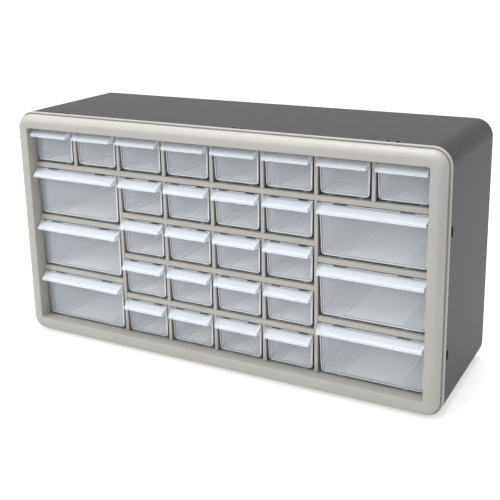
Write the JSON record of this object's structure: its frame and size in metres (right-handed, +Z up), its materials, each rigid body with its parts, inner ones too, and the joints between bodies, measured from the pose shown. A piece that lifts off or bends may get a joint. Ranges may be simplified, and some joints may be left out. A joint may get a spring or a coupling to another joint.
{
  "type": "parts bin cabinet",
  "caption": "Benchtop parts cabinet: a charcoal housing and grey front frame hold a grid of small and large clear drawers that slide out and stop before they drop.",
  "frame": {"origin": "middle of the footprint, on the surface that the cabinet stands on", "axes": "+X to the right as seen from the front, +Y from the drawer fronts to the back, +Z up"},
  "size_m": [0.5, 0.16, 0.264],
  "materials": {
    "housing_plastic": "fine spark-eroded texture, charcoal",
    "frame_plastic": "smooth satin, warm light grey",
    "drawer_plastic": "glossy translucent clear with a faint blue tint"
  },
  "bodies": {
    "cabinet": {"housing": "housing_plastic", "front_frame": "frame_plastic", "base_shelf": "frame_plastic", "base_ribs": "frame_plastic", "end_panels": "frame_plastic", "long_shelf": "frame_plastic", "top_dividers": "frame_plastic", "tall_dividers": "frame_plastic", "side_shelves": "frame_plastic", "centre_shelves": "frame_plastic", "centre_dividers": "frame_plastic"},
    "drawer_top_1": {"drawer_top_1": "drawer_plastic"},
    "drawer_top_2": {"drawer_top_2": "drawer_plastic"},
    "drawer_top_3": {"drawer_top_3": "drawer_plastic"},
    "drawer_top_4": {"drawer_top_4": "drawer_plastic"},
    "drawer_top_5": {"drawer_top_5": "drawer_plastic"},
    "drawer_top_6": {"drawer_top_6": "drawer_plastic"},
    "drawer_top_7": {"drawer_top_7": "drawer_plastic"},
    "drawer_top_8": {"drawer_top_8": "drawer_plastic"},
    "drawer_row_2_3": {"drawer_row_2_3": "drawer_plastic"},
    "drawer_row_2_4": {"drawer_row_2_4": "drawer_plastic"},
    "drawer_row_2_5": {"drawer_row_2_5": "drawer_plastic"},
    "drawer_row_2_6": {"drawer_row_2_6": "drawer_plastic"},
    "drawer_row_3_3": {"drawer_row_3_3": "drawer_plastic"},
    "drawer_row_3_4": {"drawer_row_3_4": "drawer_plastic"},
    "drawer_row_3_5": {"drawer_row_3_5": "drawer_plastic"},
    "drawer_row_3_6": {"drawer_row_3_6": "drawer_plastic"},
    "drawer_row_4_3": {"drawer_row_4_3": "drawer_plastic"},
    "drawer_row_4_4": {"drawer_row_4_4": "drawer_plastic"},
    "drawer_row_4_5": {"drawer_row_4_5": "drawer_plastic"},
    "drawer_row_4_6": {"drawer_row_4_6": "drawer_plastic"},
    "drawer_row_5_3": {"drawer_row_5_3": "drawer_plastic"},
    "drawer_row_5_4": {"drawer_row_5_4": "drawer_plastic"},
    "drawer_row_5_5": {"drawer_row_5_5": "drawer_plastic"},
    "drawer_row_5_6": {"drawer_row_5_6": "drawer_plastic"},
    "large_drawer_left_1": {"large_drawer_left_1": "drawer_plastic"},
    "large_drawer_left_2": {"large_drawer_left_2": "drawer_plastic"},
    "large_drawer_left_3": {"large_drawer_left_3": "drawer_plastic"},
    "large_drawer_right_1": {"large_drawer_right_1": "drawer_plastic"},
    "large_drawer_right_2": {"large_drawer_right_2": "drawer_plastic"},
    "large_drawer_right_3": {"large_drawer_right_3": "drawer_plastic"}
  },
  "joints": [
    {"name": "drawer_top_1_slide", "type": "slide", "parent": "cabinet", "child": "drawer_top_1", "axis": [0, -1, 0], "range_m": [0, 0.1066]},
    {"name": "drawer_top_2_slide", "type": "slide", "parent": "cabinet", "child": "drawer_top_2", "axis": [0, -1, 0], "range_m": [0, 0.1066]},
    {"name": "drawer_top_3_slide", "type": "slide", "parent": "cabinet", "child": "drawer_top_3", "axis": [0, -1, 0], "range_m": [0, 0.1066]},
    {"name": "drawer_top_4_slide", "type": "slide", "parent": "cabinet", "child": "drawer_top_4", "axis": [0, -1, 0], "range_m": [0, 0.1066]},
    {"name": "drawer_top_5_slide", "type": "slide", "parent": "cabinet", "child": "drawer_top_5", "axis": [0, -1, 0], "range_m": [0, 0.1066]},
    {"name": "drawer_top_6_slide", "type": "slide", "parent": "cabinet", "child": "drawer_top_6", "axis": [0, -1, 0], "range_m": [0, 0.1066]},
    {"name": "drawer_top_7_slide", "type": "slide", "parent": "cabinet", "child": "drawer_top_7", "axis": [0, -1, 0], "range_m": [0, 0.1066]},
    {"name": "drawer_top_8_slide", "type": "slide", "parent": "cabinet", "child": "drawer_top_8", "axis": [0, -1, 0], "range_m": [0, 0.1066]},
    {"name": "drawer_row_2_3_slide", "type": "slide", "parent": "cabinet", "child": "drawer_row_2_3", "axis": [0, -1, 0], "range_m": [0, 0.1066]},
    {"name": "drawer_row_2_4_slide", "type": "slide", "parent": "cabinet", "child": "drawer_row_2_4", "axis": [0, -1, 0], "range_m": [0, 0.1066]},
    {"name": "drawer_row_2_5_slide", "type": "slide", "parent": "cabinet", "child": "drawer_row_2_5", "axis": [0, -1, 0], "range_m": [0, 0.1066]},
    {"name": "drawer_row_2_6_slide", "type": "slide", "parent": "cabinet", "child": "drawer_row_2_6", "axis": [0, -1, 0], "range_m": [0, 0.1066]},
    {"name": "drawer_row_3_3_slide", "type": "slide", "parent": "cabinet", "child": "drawer_row_3_3", "axis": [0, -1, 0], "range_m": [0, 0.1066]},
    {"name": "drawer_row_3_4_slide", "type": "slide", "parent": "cabinet", "child": "drawer_row_3_4", "axis": [0, -1, 0], "range_m": [0, 0.1066]},
    {"name": "drawer_row_3_5_slide", "type": "slide", "parent": "cabinet", "child": "drawer_row_3_5", "axis": [0, -1, 0], "range_m": [0, 0.1066]},
    {"name": "drawer_row_3_6_slide", "type": "slide", "parent": "cabinet", "child": "drawer_row_3_6", "axis": [0, -1, 0], "range_m": [0, 0.1066]},
    {"name": "drawer_row_4_3_slide", "type": "slide", "parent": "cabinet", "child": "drawer_row_4_3", "axis": [0, -1, 0], "range_m": [0, 0.1066]},
    {"name": "drawer_row_4_4_slide", "type": "slide", "parent": "cabinet", "child": "drawer_row_4_4", "axis": [0, -1, 0], "range_m": [0, 0.1066]},
    {"name": "drawer_row_4_5_slide", "type": "slide", "parent": "cabinet", "child": "drawer_row_4_5", "axis": [0, -1, 0], "range_m": [0, 0.1066]},
    {"name": "drawer_row_4_6_slide", "type": "slide", "parent": "cabinet", "child": "drawer_row_4_6", "axis": [0, -1, 0], "range_m": [0, 0.1066]},
    {"name": "drawer_row_5_3_slide", "type": "slide", "parent": "cabinet", "child": "drawer_row_5_3", "axis": [0, -1, 0], "range_m": [0, 0.1066]},
    {"name": "drawer_row_5_4_slide", "type": "slide", "parent": "cabinet", "child": "drawer_row_5_4", "axis": [0, -1, 0], "range_m": [0, 0.1066]},
    {"name": "drawer_row_5_5_slide", "type": "slide", "parent": "cabinet", "child": "drawer_row_5_5", "axis": [0, -1, 0], "range_m": [0, 0.1066]},
    {"name": "drawer_row_5_6_slide", "type": "slide", "parent": "cabinet", "child": "drawer_row_5_6", "axis": [0, -1, 0], "range_m": [0, 0.1066]},
    {"name": "large_drawer_left_1_slide", "type": "slide", "parent": "cabinet", "child": "large_drawer_left_1", "axis": [0, -1, 0], "range_m": [0, 0.1066]},
    {"name": "large_drawer_left_2_slide", "type": "slide", "parent": "cabinet", "child": "large_drawer_left_2", "axis": [0, -1, 0], "range_m": [0, 0.1066]},
    {"name": "large_drawer_left_3_slide", "type": "slide", "parent": "cabinet", "child": "large_drawer_left_3", "axis": [0, -1, 0], "range_m": [0, 0.1066]},
    {"name": "large_drawer_right_1_slide", "type": "slide", "parent": "cabinet", "child": "large_drawer_right_1", "axis": [0, -1, 0], "range_m": [0, 0.1066]},
    {"name": "large_drawer_right_2_slide", "type": "slide", "parent": "cabinet", "child": "large_drawer_right_2", "axis": [0, -1, 0], "range_m": [0, 0.1066]},
    {"name": "large_drawer_right_3_slide", "type": "slide", "parent": "cabinet", "child": "large_drawer_right_3", "axis": [0, -1, 0], "range_m": [0, 0.1066]}
  ]
}
